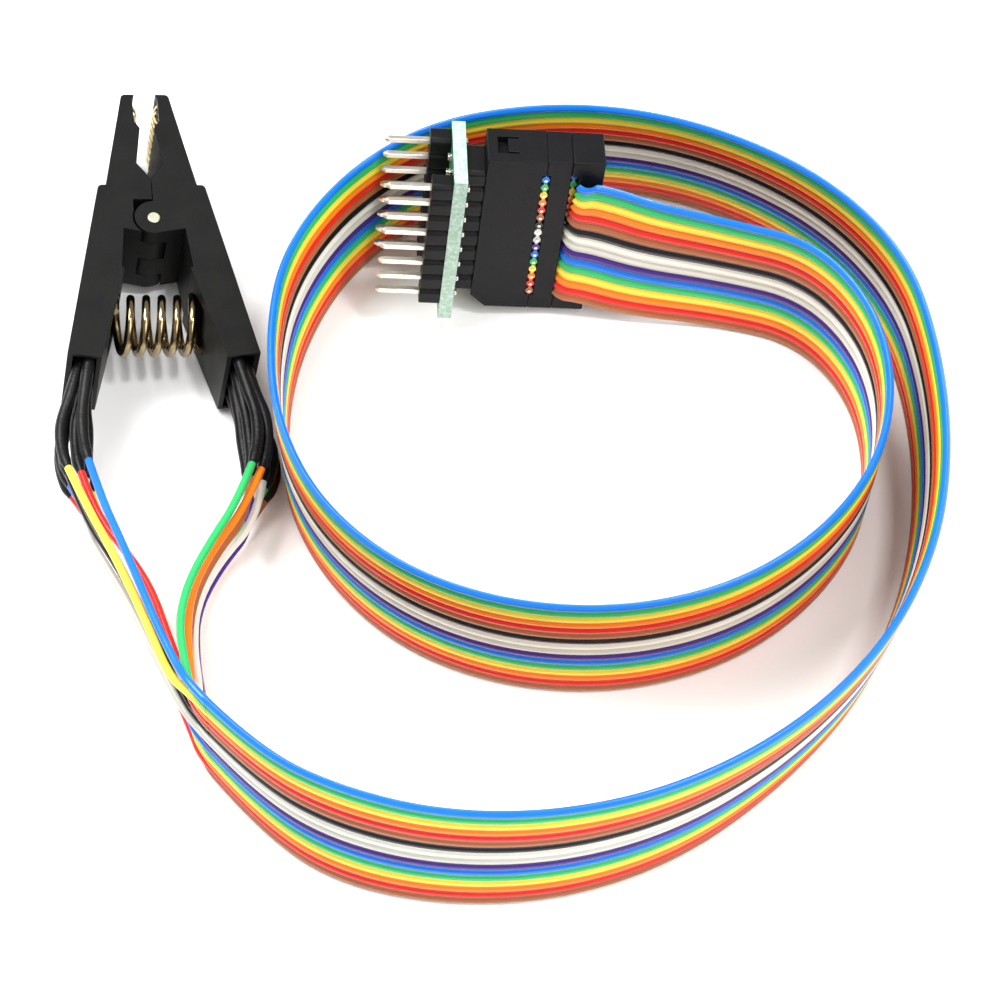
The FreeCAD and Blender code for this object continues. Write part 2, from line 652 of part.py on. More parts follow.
def idc_body():
    body = doc.addObject("PartDesign::Body", "SocketBody")
    thick = size("socket_thick") / 2
    tall = size("socket_long") / 2
    deep = size("body_deep")
    corner = size("corner_cut")
    profile = new_sketch(body, "BodyOutline", "XZ_Plane", -thick)
    points = [Vector(0, tall, 0), Vector(deep, tall, 0), Vector(deep, -tall, 0),
              Vector(corner, -tall, 0), Vector(0, -tall + corner, 0)]
    fixed_lines(profile, points)
    pad(body, profile, "Sizes.socket_thick")
    cavity = size("cavity") / 2
    first_y, first_z = pin_places()[0]
    hole = rectangle(body, "PinCavity", first_y - cavity, first_y + cavity,
                     first_z - cavity, first_z + cavity, "YZ_Plane")
    cavity_cut = pocket(body, hole, "Sizes.cavity_deep", True)
    rows = body.newObject("PartDesign::MultiTransform", "CavityRows")
    rows.Originals = [cavity_cut]
    across = body.newObject("PartDesign::LinearPattern", "AcrossRows")
    across.Direction = (hole, ["H_Axis"])
    across.Length = size("pin_pitch")
    across.Occurrences = 2
    down = body.newObject("PartDesign::LinearPattern", "DownRow")
    down.Direction = (hole, ["V_Axis"])
    down.Reversed = True
    down.Length = size("pin_pitch") * (CONTACTS - 1)
    down.Occurrences = CONTACTS
    rows.Transformations = [across, down]
    body.Tip = rows
    doc.recompute()
    groove = rectangle(body, "RibbonGroove", deep - size("ribbon_thick") / 2, deep,
                       -ribbon_half(), ribbon_half(), "XZ_Plane", -thick)
    pocket(body, groove, "Sizes.socket_thick")
    for sign, word in ((1, "Top"), (-1, "Bottom")):
        edge = sign * tall
        inside = sign * (tall - size("latch_deep"))
        window = rectangle(body, "LatchWindow" + word, size("latch_start"),
                           size("latch_start") + size("latch_long"), min(edge, inside),
                           max(edge, inside), "XZ_Plane", -size("latch_wide") / 2)
        pocket(body, window, "Sizes.latch_wide")
        end = size("latch_start") + size("latch_long")
        tooth = rectangle(body, "LatchTooth" + word, end - size("tooth_long"), end, min(edge, inside),
                          max(edge, inside), "XZ_Plane", -size("tooth_wide") / 2)
        pad(body, tooth, "Sizes.tooth_wide")
    key = rectangle(body, "PolarKey", 0.0, size("key_deep"), -size("key_long") / 2,
                    size("key_long") / 2, "XZ_Plane", -thick - size("key_proud"))
    pad(body, key, "Sizes.key_proud")
    return add_node("idc_body", body, SOCKET)


def fixed_lines(sketch, points):
    for i, point in enumerate(points):
        sketch.addGeometry(Part.LineSegment(point, points[(i + 1) % len(points)]), False)
        sketch.addConstraint(Sketcher.Constraint("Block", i))


def ribbon_half():
    return WIRES * size("wire_pitch") / 2 + 0.05


def idc_cover():
    """The cap that drives the ribbon onto the forked contacts, grooved for half its thickness."""
    thick = size("socket_thick") / 2
    tall = size("socket_long") / 2
    start = size("body_deep") + 0.02
    end = size("body_deep") + size("cover_deep")
    base = block("CoverBlock", start, end, -thick, thick, -tall, tall)
    groove = block("CoverGroove", start - 1, start + size("ribbon_thick") / 2, -thick - 1, thick + 1,
                   -ribbon_half(), ribbon_half())
    cap = cut("SocketCover", base, [groove])
    return add_node("idc_cover", cap, SOCKET)


def strain_relief():
    """The bar that clamps the ribbon's fold, on an arm at each end."""
    thick = size("socket_thick") / 2
    tall = size("socket_long") / 2
    start = size("body_deep") + size("cover_deep") + 0.02
    end = start + size("relief_deep")
    base = block("ReliefBar", start, end, -thick, thick, -tall, tall)
    room = block("ReliefRoom", start - 1, start + size("ribbon_thick"), -thick - 1, thick + 1,
                 -ribbon_half(), ribbon_half())
    bar = cut("SocketRelief", base, [room])
    return add_node("strain_relief", bar, SOCKET)


def idc_contacts():
    """Sixteen blades, one beside each pin, each standing on the floor of its cavity."""
    start = size("blade_start")
    wide = size("blade_wide")
    wall = size("cavity") / 2
    blades = []
    for y, z in pin_places():
        blade = Part.makeBox(size("cavity_deep") - start, size("blade_thick"), wide)
        blade.translate(Vector(start, y + wall - size("blade_thick"), z - wide / 2))
        blades.append(blade)
    return add_shape("idc_contacts", Part.makeCompound(blades), SOCKET)


# Board, headers and pins
def board_faces():
    back = -size("plug_base")
    return back - size("board_thick"), back


def header_places():
    return [(row * size("row_half"), z) for row in (-1, 1) for _, z in pin_places()[:CONTACTS]]


def adapter_board():
    low, high = board_faces()
    wide = size("board_wide") / 2
    tall = size("board_long") / 2
    shift = size("board_shift")
    base = block("Board", low, high, -wide, wide, shift - tall, shift + tall)
    holes = []
    for i, (y, z) in enumerate(pin_places() + header_places()):
        hole = doc.addObject("Part::Prism", f"BoardHole{i:02d}")
        hole.Polygon = HOLE_SIDES
        hole.setExpression("Circumradius", "Sizes.board_hole")
        hole.Height = size("board_thick") + 2
        hole.Placement = Placement(Vector(low - 1, y, z), Rotation(Vector(0, 1, 0), 90))
        holes.append(hole)
    return add_node("adapter_board", cut("DrilledBoard", base, holes), SOCKET)


def header_base(name, start, deep, rows):
    """A moulded strip, nicked between its pins, with a hole for each pin."""
    pitch = size("pin_pitch")
    half = len(rows) * pitch / 2
    middle = sum(rows) / len(rows)
    tall = CONTACTS * pitch / 2
    base = block(name + "Strip", start, start + deep, middle - half, middle + half, -tall, tall)
    tools = []
    nick = size("notch")
    for i in range(CONTACTS + 1):
        height = tall - i * pitch
        for sign in (-1, 1):
            edge = middle + sign * half
            corners = [Vector(start - 1, edge - sign * nick, height), Vector(start - 1, edge, height - nick),
                       Vector(start - 1, edge + sign, height), Vector(start - 1, edge, height + nick)]
            face = Part.Face(Part.makePolygon(corners + corners[:1]))
            tools.append(plain_tool(f"{name}Nick{i}{sign}", face.extrude(Vector(deep + 2, 0, 0))))
    side = size("pin_side")
    for y in rows:
        for i in range(CONTACTS):
            height = tall - (i + 0.5) * pitch
            tools.append(block(f"{name}Hole{i}{y:.0f}", start - 1, start + deep + 1, y - side / 2,
                               y + side / 2, height - side / 2, height + side / 2))
    return cut(name, base, tools)


def plain_tool(name, shape):
    tool = doc.addObject("Part::Feature", name)
    tool.Shape = shape
    return tool


def pointed_pin(tip, end, y, z):
    """A square pin from its blunted point at tip to end, along X."""
    half = size("pin_side") / 2
    point = size("pin_point")
    sign = 1 if end > tip else -1
    shoulder = tip + sign * point
    sections = [pin_square(tip, y, z, half * 0.45), pin_square(shoulder, y, z, half)]
    point_solid = Part.makeLoft(sections, True, True)
    shank = Part.Face(pin_square(shoulder, y, z, half)).extrude(Vector(end - shoulder, 0, 0))
    return point_solid.fuse(shank).removeSplitter()


def pin_square(x, y, z, half):
    corners = [Vector(x, y + a * half, z + b * half) for a, b in ((-1, -1), (1, -1), (1, 1), (-1, 1))]
    return Part.makePolygon(corners + corners[:1])


def pins(name, places, tip, end):
    group = [pointed_pin(tip, end, y, z) for y, z in places]
    return add_shape(name, Part.makeCompound(group), SOCKET)


def board_and_headers():
    low, high = board_faces()
    adapter_board()
    base = size("header_base")
    through = size("pin_through")
    half_row = size("row_half")
    tip = low - base - size("pin_out")
    add_node("header_near", header_base("HeaderNear", low - base, base, [-half_row]), SOCKET)
    add_node("header_far", header_base("HeaderFar", low - base, base, [half_row]), SOCKET)
    near = [place for place in header_places() if place[0] < 0]
    far = [place for place in header_places() if place[0] > 0]
    pins("header_pins_near", near, tip, high + through)
    pins("header_pins_far", far, tip, high + through)
    half_pitch = size("pin_pitch") / 2
    plug = header_base("PlugHeader", high, size("plug_base"), [-half_pitch, half_pitch])
    add_node("plug_header", plug, SOCKET)
    pins("plug_pins", pin_places(), size("pin_in_socket"), low - through)


def check_and_export():
    doc.recompute()
    for thing in doc.Objects:
        if "Invalid" in thing.State or "Error" in thing.State:
            raise RuntimeError(f"{thing.Name} failed: {thing.State}")
    os.makedirs("parts", exist_ok=True)
    for name, thing in nodes.items():
        shape = thing.Shape
        if shape.isNull() or not shape.isValid():
            raise RuntimeError(f"{name} has no valid shape")
        shape.exportStep(f"parts/{name}.step")
        print(f"{name}: {len(shape.Solids)} solids, {shape.Volume:.1f} cubic mm")


for side in ("left", "right"):
    clip_half(side)
    contacts(side)
    sleeves(side)
hinge_pin()
spring()
wires()
ribbon_in_connector()
ribbon_cable()
idc_body()
idc_cover()
strain_relief()
idc_contacts()
board_and_headers()
check_and_export()
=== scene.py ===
import bpy
import bmesh
import json
import math
import random
from mathutils import Euler, Matrix, Vector


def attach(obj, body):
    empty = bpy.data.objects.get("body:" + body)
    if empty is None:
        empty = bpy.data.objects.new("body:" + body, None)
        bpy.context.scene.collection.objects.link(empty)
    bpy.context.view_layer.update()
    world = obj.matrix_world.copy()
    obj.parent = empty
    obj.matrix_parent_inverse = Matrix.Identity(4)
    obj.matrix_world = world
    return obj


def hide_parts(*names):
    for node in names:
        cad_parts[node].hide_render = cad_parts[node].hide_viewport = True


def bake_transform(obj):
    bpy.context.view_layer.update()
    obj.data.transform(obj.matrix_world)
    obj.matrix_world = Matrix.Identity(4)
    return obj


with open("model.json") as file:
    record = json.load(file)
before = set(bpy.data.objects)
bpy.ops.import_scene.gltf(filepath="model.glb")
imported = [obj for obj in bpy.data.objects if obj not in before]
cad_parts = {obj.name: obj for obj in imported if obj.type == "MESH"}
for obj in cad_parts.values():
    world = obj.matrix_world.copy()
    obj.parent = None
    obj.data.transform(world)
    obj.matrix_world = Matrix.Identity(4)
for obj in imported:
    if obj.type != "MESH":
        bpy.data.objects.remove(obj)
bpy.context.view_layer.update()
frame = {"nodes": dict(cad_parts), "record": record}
mm = 0.001  # the sizes below are in millimetres
fixedHalf = "left half and cable"
movingHalf = "right half"


# Small helpers: colours, nodes, objects
def linear(hexColour):
    channels = [int(hexColour[i:i + 2], 16) / 255 for i in (1, 3, 5)]
    toLinear = [c / 12.92 if c <= 0.04045 else ((c + 0.055) / 1.055) ** 2.4 for c in channels]
    return (*toLinear, 1.0)


def addNode(tree, kind, inputs=None, **settings):
    node = tree.nodes.new(kind)
    for name, value in settings.items():
        setattr(node, name, value)
    for key, value in (inputs or {}).items():
        if isinstance(value, bpy.types.NodeSocket):
            tree.links.new(value, node.inputs[key])
        else:
            node.inputs[key].default_value = value
    return node


def newMaterial(name, **surface):
    material = bpy.data.materials.new(name)
    material.use_nodes = True
    shader = material.node_tree.nodes["Principled BSDF"]
    for key, value in surface.items():
        shader.inputs[key.replace("_", " ")].default_value = value
    return material, material.node_tree, shader


def newPiece(name, mesh, material, body, smoothAngle):
    if smoothAngle:
        mesh.shade_smooth()
        mesh.set_sharp_from_angle(angle=math.radians(smoothAngle))
    piece = bpy.data.objects.new(name, mesh)
    bpy.context.scene.collection.objects.link(piece)
    mesh.materials.clear()
    for each in material if isinstance(material, list) else [material]:
        mesh.materials.append(each)
    if body:
        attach(piece, body)
    return piece


def meshOf(name, points, faces, uvs=None):
    mesh = bpy.data.meshes.new(name)
    mesh.from_pydata([tuple(p) for p in points], [], faces)
    if uvs:
        layer = mesh.uv_layers.new(name="along")
        for loop in mesh.loops:
            layer.data[loop.index].uv = uvs[loop.vertex_index]
    mesh.validate()
    return mesh


# Where the two assemblies lie, as in the construction
layout = {
    "pinAxis": (-22.385, 7.754), "clipYaw": 6.3, "clipRoll": 9.5, "clipThick": 11.6, "heelOuter": 11.34,
    "socket": (39.65, -0.65, 14.165), "socketTurn": (-9.4, 5.9, 1.2),
}
clipRoll = math.radians(layout["clipRoll"])
clipMiddle = layout["heelOuter"] * math.sin(clipRoll) + layout["clipThick"] / 2 * math.cos(clipRoll)
clipTurn = Euler((0, clipRoll, math.radians(layout["clipYaw"])), "XYZ").to_matrix()
socketTurn = Euler([math.radians(a) for a in layout["socketTurn"]], "XYZ").to_matrix()


def bench(across, along, height=0.0):
    x, y = layout["pinAxis"]
    return Vector((x + across, y + along, height)) * mm


def clipPoint(across, along, level):
    x, y = layout["pinAxis"]
    return (Vector((x, y, clipMiddle)) + clipTurn @ Vector((across, along, level))) * mm


def socketPoint(x, y, z):
    return bench(*layout["socket"]) + socketTurn @ Vector((x, y, z)) * mm


# Camera
view = {"target": (42.31, -31.27), "elevation": 60, "distance": 450, "lens": 136.8}
camera = bpy.data.objects.new("camera", bpy.data.cameras.new("camera"))
bpy.context.scene.collection.objects.link(camera)
bpy.context.scene.camera = camera
up = math.radians(view["elevation"])
away = Vector((0, -math.cos(up), math.sin(up))) * view["distance"] * mm
camera.location = bench(*view["target"]) + away
camera.rotation_euler = (math.pi / 2 - up, 0, 0)
camera.data.lens = view["lens"]
camera.data.sensor_width = 36
camera.data.clip_start = 0.01
print("camera placed")


# Lines: a smooth spline through a route, and tubes and bands that follow it
def splineLine(route, resolution=12):
    curve = bpy.data.curves.new("line", "CURVE")
    curve.dimensions = "3D"
    spline = curve.splines.new("NURBS")
    spline.points.add(len(route) - 1)
    for point, place in zip(spline.points, route):
        point.co = (*place, 1)
    spline.order_u = 3
    spline.use_endpoint_u = True
    spline.resolution_u = resolution
    holder = bpy.data.objects.new("line", curve)
    bpy.context.scene.collection.objects.link(holder)
    mesh = bpy.data.meshes.new_from_object(holder.evaluated_get(bpy.context.evaluated_depsgraph_get()))
    line = [v.co.copy() for v in mesh.vertices]
    bpy.data.objects.remove(holder)
    bpy.data.curves.remove(curve)
    bpy.data.meshes.remove(mesh)
    return line


def lineLength(line):
    return sum((b - a).length for a, b in zip(line, line[1:]))


def directions(line):
    ends = [line[0]] + line + [line[-1]]
    return [(after - before).normalized() for before, after in zip(ends, ends[2:])]


def tubeMesh(name, line, radiusAt, sides):
    # radiusAt gets the length so far and the whole length, in metres
    along = directions(line)
    aside = along[0].orthogonal().normalized()
    points, uvs, faces = [], [], []
    whole = lineLength(line)
    done = 0.0
    for i, place in enumerate(line):
        if i:
            done += (place - line[i - 1]).length
            aside = (aside - along[i] * aside.dot(along[i])).normalized()
        across = along[i].cross(aside)
        radius = radiusAt(done, whole)
        for k in range(sides):
            angle = 2 * math.pi * k / sides
            points.append(place + (aside * math.cos(angle) + across * math.sin(angle)) * radius)
            uvs.append((done, k / sides))
    for i in range(len(line) - 1):
        for k in range(sides):
            a, b = i * sides + k, i * sides + (k + 1) % sides
            faces.append((a, b, b + sides, a + sides))
    faces.append(tuple(range(sides - 1, -1, -1)))
    last = (len(line) - 1) * sides
    faces.append(tuple(range(last, last + sides)))
    return meshOf(name, points, faces, uvs)


# Ribbon cable: sixteen round conductors with thin webs between them
ribbonSize = {
    "conductors": 16, "pitch": 1.27, "thick": 0.9, "web": 0.34, "flatten": 1.3, "reach": 0.985,
    "endThick": 0.1, "fall": 16.0, "floorGap": 0.02, "steps": 9,
}
ribbonRoute = [  # across and along from the hinge pin, lean outward in degrees
    (50.5, -3.52, 12.0), (53.4, -3.66, 12.0), (58.9, -4.6, 8.5), (69.0, -5.9, 5.0),
    (78.6, -8.6, 5.0), (84.8, -16.6, 4.2), (86.8, -26.8, 4.3), (84.7, -37.5, 3.5),
    (78.1, -46.7, 2.7), (68.2, -53.6, 1.3), (55.9, -56.8, 0.2), (42.9, -56.0, 0.0),
    (31.1, -51.3, 0.5), (22.2, -43.0, 1.8), (17.1, -32.4, 1.5), (16.0, -20.6, 2.5),
    (17.8, -9.2, 4.5), (23.8, 1.3, 1.5), (33.3, 9.0, -1.0), (45.4, 12.3, -4.0),
    (57.9, 12.3, -6.0), (70.4, 8.5, -6.0), (81.9, 0.9, -3.0), (89.5, -9.7, 1.5),
    (92.15, -21.6, 3.0), (92.4, -34.9, 5.8), (89.9, -47.7, 8.5), (83.95, -59.75, 8.8),
    (74.35, -70.1, 6.8), (62.3, -78.1, 1.0), (49.45, -82.1, -3.0), (36.3, -82.5, -5.0),
    (24.4, -79.6, -6.5), (15.7, -74.1, -2.0), (10.0, -67.7, 0.0),
]
halfWidth = ribbonSize["conductors"] * ribbonSize["pitch"] / 2
socketSize = {"bodyDeep": 7.05, "coverDeep": 2.95, "thick": 5.2, "inSlot": 0.8}


def ribbonControls():
    # the middle line's points, and those of the upper edge, which carry the lean
    leave = (socketSize["bodyDeep"] + socketSize["coverDeep"] + ribbonSize["thick"] / 2,
             socketSize["inSlot"] - socketSize["thick"] / 2)
    first = socketPoint(*leave, 0)
    tilt = socketTurn @ Vector((0, 0, 1))
    plan = [first] + [bench(x, y) for x, y, _ in ribbonRoute]
    leans = [ribbonRoute[0][2]] + [lean for _, _, lean in ribbonRoute]
    along = directions([Vector((p.x, p.y, 0)) for p in plan])
    done = 0.0
    middle, edge = [], []
    for i, place in enumerate(plan):
        if i:
            done += (place - plan[i - 1]).xy.length / mm
        settled = min(done / ribbonSize["fall"], 1.0)
        settled = settled * settled * (3 - 2 * settled)
        lean = math.radians(leans[i])
        outward = Vector((-along[i].y, along[i].x, 0))
        standing = Vector((0, 0, math.cos(lean))) + outward * math.sin(lean)
        upward = (tilt * (1 - settled) + standing * settled).normalized()
        lowest = halfWidth * upward.z + ribbonSize["thick"] / 2 * math.sqrt(1 - upward.z ** 2)
        low = (lowest + ribbonSize["floorGap"]) * mm
        height = first.z * (1 - settled) + low * settled
        centre = Vector((place.x, place.y, max(height, low)))
        middle.append(centre)
        edge.append(centre + upward * halfWidth * mm)
    return middle, edge


def ribbonSection():
    # one closed loop: up the near side, down the far side, as (aside, upward, conductor) in millimetres
    pitch, thick, web, steps = (ribbonSize[k] for k in ("pitch", "thick", "web", "steps"))
    last = (ribbonSize["conductors"] - 1, steps - 1)
    side = []
    for n in range(ribbonSize["conductors"]):
        centre = (n + 0.5) * pitch - halfWidth
        for s in range(steps):
            offset = (s / (steps - 1) - 0.5) * pitch
            inward = offset * thick / pitch * ribbonSize["flatten"]
            bump = math.sqrt(max(0.0, (thick / 2) ** 2 - inward ** 2))
            aside = ribbonSize["endThick"] / 2 if (n, s) in ((0, 0), last) else max(bump, web / 2)
            upward = centre + offset * ribbonSize["reach"]
            side.append((aside, upward, (upward + halfWidth) / pitch))
    return side + [(-x, y, n) for x, y, n in reversed(side)]


def bandMesh(name, line, uppers):
    section = ribbonSection()
    along = directions(line)
    points, uvs, faces = [], [], []
    done = 0.0
    for i, place in enumerate(line):
        if i:
            done += (place - line[i - 1]).length
        aside = along[i].cross(uppers[i]).normalized()
        upward = aside.cross(along[i])
        for x, y, n in section:
            points.append(place + (aside * x + upward * y) * mm)
            uvs.append((done, n / ribbonSize["conductors"]))
    count = len(section)
    for i in range(len(line) - 1):
        for k in range(count):
            a, b = i * count + k, i * count + (k + 1) % count
            faces.append((a, b, b + count, a + count))
    half = count // 2
    for start, flip in ((0, True), ((len(line) - 1) * count, False)):
        for k in range(half - 1):
            cap = (start + k, start + k + 1, start + count - 2 - k, start + count - 1 - k)
            faces.append(cap[::-1] if flip else cap)
    return meshOf(name, points, faces, uvs)


# Soft vinyl insulation: smooth with a low sheen, sixteen colours of which ten differ
vinyl = {
    "brown": "#A8633C", "red": "#DE2A1E", "orange": "#F7821B", "yellow": "#F3DC45", "green": "#2FB765",
    "blue": "#1573DB", "violet": "#43267F", "grey": "#CFCEC4", "white": "#E8E6DB", "black": "#17131A",
}
order = ["brown", "red", "orange", "yellow", "green", "blue", "violet", "grey",
         "white", "black", "brown", "red", "orange", "yellow", "green", "blue"]


def vinylSurface(tree, shader, colour, coordinates):
    # faint unevenness of colour and gloss every 4 mm or so, and a fine grain
    cloud = addNode(tree, "ShaderNodeTexNoise", {"Vector": coordinates, "Scale": 250.0, "Detail": 3.0})
    shade = addNode(tree, "ShaderNodeMapRange", {
        "Value": cloud.outputs["Fac"], "To Min": 0.9, "To Max": 1.08})
    tinted = addNode(tree, "ShaderNodeVectorMath", {
        0: colour, 1: shade.outputs["Result"]}, operation="MULTIPLY")
    gloss = addNode(tree, "ShaderNodeMapRange", {
        "Value": cloud.outputs["Fac"], "To Min": 0.15, "To Max": 0.27})
    fine = addNode(tree, "ShaderNodeTexNoise", {"Vector": coordinates, "Scale": 1800.0, "Detail": 2.0})
    bump = addNode(tree, "ShaderNodeBump", {
        "Height": fine.outputs["Fac"], "Strength": 0.12, "Distance": 0.00006})
    tree.links.new(tinted.outputs["Vector"], shader.inputs["Base Color"])
    tree.links.new(gloss.outputs["Result"], shader.inputs["Roughness"])
    tree.links.new(bump.outputs["Normal"], shader.inputs["Normal"])


def ribbonMaterial():
    material, tree, shader = newMaterial("vinylRibbon", IOR=1.5)
    place = addNode(tree, "ShaderNodeUVMap", uv_map="along")
    split = addNode(tree, "ShaderNodeSeparateXYZ", {0: place.outputs["UV"]})
    ramp = addNode(tree, "ShaderNodeValToRGB", {"Fac": split.outputs["Y"]})
    ramp.color_ramp.interpolation = "CONSTANT"
    stops = ramp.color_ramp.elements
    while len(stops) < len(order):
        stops.new(0.5)
    for n, name in enumerate(order):
        stops[n].position = n / len(order)
        stops[n].color = linear(vinyl[name])
    objectPlace = addNode(tree, "ShaderNodeTexCoord")
    vinylSurface(tree, shader, ramp.outputs["Color"], objectPlace.outputs["Object"])
    return material


def wireMaterial(name):
    material, tree, shader = newMaterial("vinyl" + name.title(), IOR=1.5)
    colour = addNode(tree, "ShaderNodeRGB")
    colour.outputs[0].default_value = linear(vinyl[name])
    place = addNode(tree, "ShaderNodeTexCoord")
    vinylSurface(tree, shader, colour.outputs["Color"], place.outputs["Object"])
    return material


vinylRibbon = ribbonMaterial()
wireMaterials = {name: wireMaterial(name) for name in vinyl}
middleRoute, edgeRoute = ribbonControls()
ribbonLine = splineLine(middleRoute)
ribbonEdge = splineLine(edgeRoute)
ribbonUp = [(e - m).normalized() for m, e in zip(ribbonLine, ribbonEdge)]
ribbon = newPiece("ribbon", bandMesh("ribbon", ribbonLine, ribbonUp), vinylRibbon, fixedHalf, 60)
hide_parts("ribbon_cable")
print("ribbon made,", round(lineLength(ribbonLine) / mm), "mm")

# Wires: from the sleeves of each handle to the ribbon's split
wireSize = {
    "diameter": 0.95, "sides": 14, "levels": 8, "levelStep": 1.27, "intoSleeve": 1.0, "splitReach": 2.4,
    "intoRibbon": 0.6, "floorGap": 0.02,
}
leftBundle = [(-6.35, -33.6), (-4.2, -39.6), (-1.5, -45.2), (1.0, -50.4), (3.7, -56.6), (6.7, -63.3)]
# how far to the right of the bundle's line each wire lies at each of its points, from the top wire down
leftAside = [
    (1.3, 1.15, 0.85, 0.45, 0.15, 0.15), (-1.3, -0.75, -0.55, -0.6, -0.6, -0.9),
    (0.15, 0.0, 1.4, 2.0, 1.4, 1.0), (-1.3, -1.1, -0.3, 0.0, 0.1, 0.2),
    (0.5, -1.85, -1.2, -0.7, -0.5, -0.2), (-1.3, 0.2, 0.6, 0.5, 0.5, 0.5),
    (0.9, 0.7, 0.6, 0.5, 0.8, 1.0), (-1.3, 0.9, 1.2, 1.1, 0.9, 0.7),
]
rightBundle = [(14.2, -32.2), (13.0, -38.1), (10.6, -44.2), (8.3, -50.2), (7.5, -56.0), (8.1, -61.9)]
rightAside = [
    (-0.5, -0.75, -1.15, -1.1, -1.05, -0.65), (0.5, 0.05, -1.0, -0.85, -0.3, -0.1),
    (-0.9, 0.35, -0.85, -0.7, -0.25, -0.2), (0.5, 1.3, -0.6, -0.6, 0.15, 0.6),
    (-1.3, 0.9, -0.65, -0.7, 0.3, 0.7), (0.5, -0.95, -2.0, -1.2, 0.0, 0.6),
    (-1.6, -0.9, -2.5, -1.4, 0.1, 0.8), (0.5, -1.7, -2.9, -1.5, 0.3, 0.9),
]
handle = {"slotBack": 8.47, "heelAlong": -19.3, "deep": (6.6, 9.45, -13.4), "mouth": (7.95, 10.8, -20.0),
          "tailAlong": -15.6, "leaveAlong": -20.6}
bundles = {"left": (-1, leftBundle, leftAside), "right": (1, rightBundle, rightAside)}


def contactLevel(i):
    return ((wireSize["levels"] - 1) / 2 - i) * wireSize["levelStep"]


def wireNumber(side, i):
    return (16 if side == "left" else 15) - 2 * i


def columnOf(i):
    return -1 if i % 2 == 0 else 1


def splitHeight(number):
    return wireSize["levelStep"] * (number - 0.5) + wireSize["floorGap"]


def bundlePoint(side, i, step):
    sign, bundle, aside = bundles[side]
    start = clipPoint(sign * handle["slotBack"], handle["heelAlong"], contactLevel(i)).z / mm
    height = start + (splitHeight(wireNumber(side, i)) - start) * step / len(bundle)
    across, along = bundle[step]
    return bench(across + aside[i][step], along, height)


splitEnd = bench(*ribbonRoute[-1][:2])
splitTravel = (splitEnd - bench(*ribbonRoute[-2][:2])).normalized()
for side in bundles:
    for i in range(wireSize["levels"]):
        number = wireNumber(side, i)
        route = [bundlePoint(side, i, step) for step in range(len(bundles[side][1]))]
        route[0] = route[0] - (route[1] - route[0]).normalized() * wireSize["intoSleeve"] * mm
        lift = Vector((0, 0, splitHeight(number) * mm))
        route.append(splitEnd + splitTravel * wireSize["splitReach"] * mm + lift)
        route.append(splitEnd - splitTravel * wireSize["intoRibbon"] * mm + lift)
        line = splineLine(route)
        name = f"wire{number:02d}"
        mesh = tubeMesh(name, line, lambda done, whole: wireSize["diameter"] / 2 * mm, wireSize["sides"])
        body = fixedHalf if side == "left" else None
        wire = newPiece(name, mesh, wireMaterials[order[number - 1]], body, 60)
        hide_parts(f"wire_{number:02d}")
        if side == "right":
            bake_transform(wire)
print("wires made")

# Heat-shrink sleeves: matt tubing that narrows onto the wire at its end
sleeveSize = {
    "diameter": 1.42, "column": 0.5, "neck": 0.7, "neckLong": 1.4, "lump": 0.05, "lumpTurn": 1.1,
    "lastShare": 0.35, "endSpread": (-0.3, 0.8), "resolution": 16, "sides": 18,
}


def sleeveMaterial():
    # shrunk tubing: almost matt black, faintly wrinkled round about where it drew in
    material, tree, shader = newMaterial("shrinkTubing", Roughness=0.4, Specular_IOR_Level=0.25)
    place = addNode(tree, "ShaderNodeUVMap", uv_map="along")
    stretch = addNode(tree, "ShaderNodeMapping", {"Vector": place.outputs["UV"], "Scale": (2600.0, 7.0, 1.0)})
    wrinkle = addNode(tree, "ShaderNodeTexNoise", {
        "Vector": stretch.outputs["Vector"], "Scale": 1.0, "Detail": 3.0})
    colour = addNode(tree, "ShaderNodeMix", {
        "Factor": wrinkle.outputs["Fac"], "A": linear("#070708"), "B": linear("#141416")}, data_type="RGBA")
    bump = addNode(tree, "ShaderNodeBump", {
        "Height": wrinkle.outputs["Fac"], "Strength": 0.6, "Distance": 0.00012})
    tree.links.new(colour.outputs["Result"], shader.inputs["Base Color"])
    tree.links.new(bump.outputs["Normal"], shader.inputs["Normal"])
    return material


def joined(meshes, name):
    whole = bmesh.new()
    for mesh in meshes:
        whole.from_mesh(mesh)
    result = bpy.data.meshes.new(name)
    whole.to_mesh(result)
    whole.free()
    return result


def sleeveMesh(side, i, chance):
    sign = bundles[side][0]
    column = sign * columnOf(i) * sleeveSize["column"]
    deepMiddle, mouthMiddle = (sum(handle[k][:2]) / 2 for k in ("deep", "mouth"))
    slope = (mouthMiddle - deepMiddle) / (handle["mouth"][2] - handle["deep"][2])
    route = []
    for alongClip in (handle["tailAlong"], handle["leaveAlong"]):
        across = deepMiddle + slope * (alongClip - handle["deep"][2])
        route.append(clipPoint(sign * across + column, alongClip, contactLevel(i)))
    end = bundlePoint(side, i, 0)
    ahead = (bundlePoint(side, i, 1) - end).normalized()
    route.append(end - ahead * sleeveSize["lastShare"] * (end - route[1]).length)
    route.append(end + ahead * chance.uniform(*sleeveSize["endSpread"]) * mm)
    phase = chance.uniform(0, 6)
    neckLong = sleeveSize["neckLong"] * mm

    def radiusAt(done, whole):
        left = min((whole - done) / neckLong, 1.0)
        share = sleeveSize["neck"] + (1 - sleeveSize["neck"]) * left * left * (3 - 2 * left)
        lump = 1 + sleeveSize["lump"] * math.sin(phase + done / mm * sleeveSize["lumpTurn"])
        return sleeveSize["diameter"] / 2 * share * lump * mm

    return tubeMesh("sleeve", splineLine(route, sleeveSize["resolution"]), radiusAt, sleeveSize["sides"])


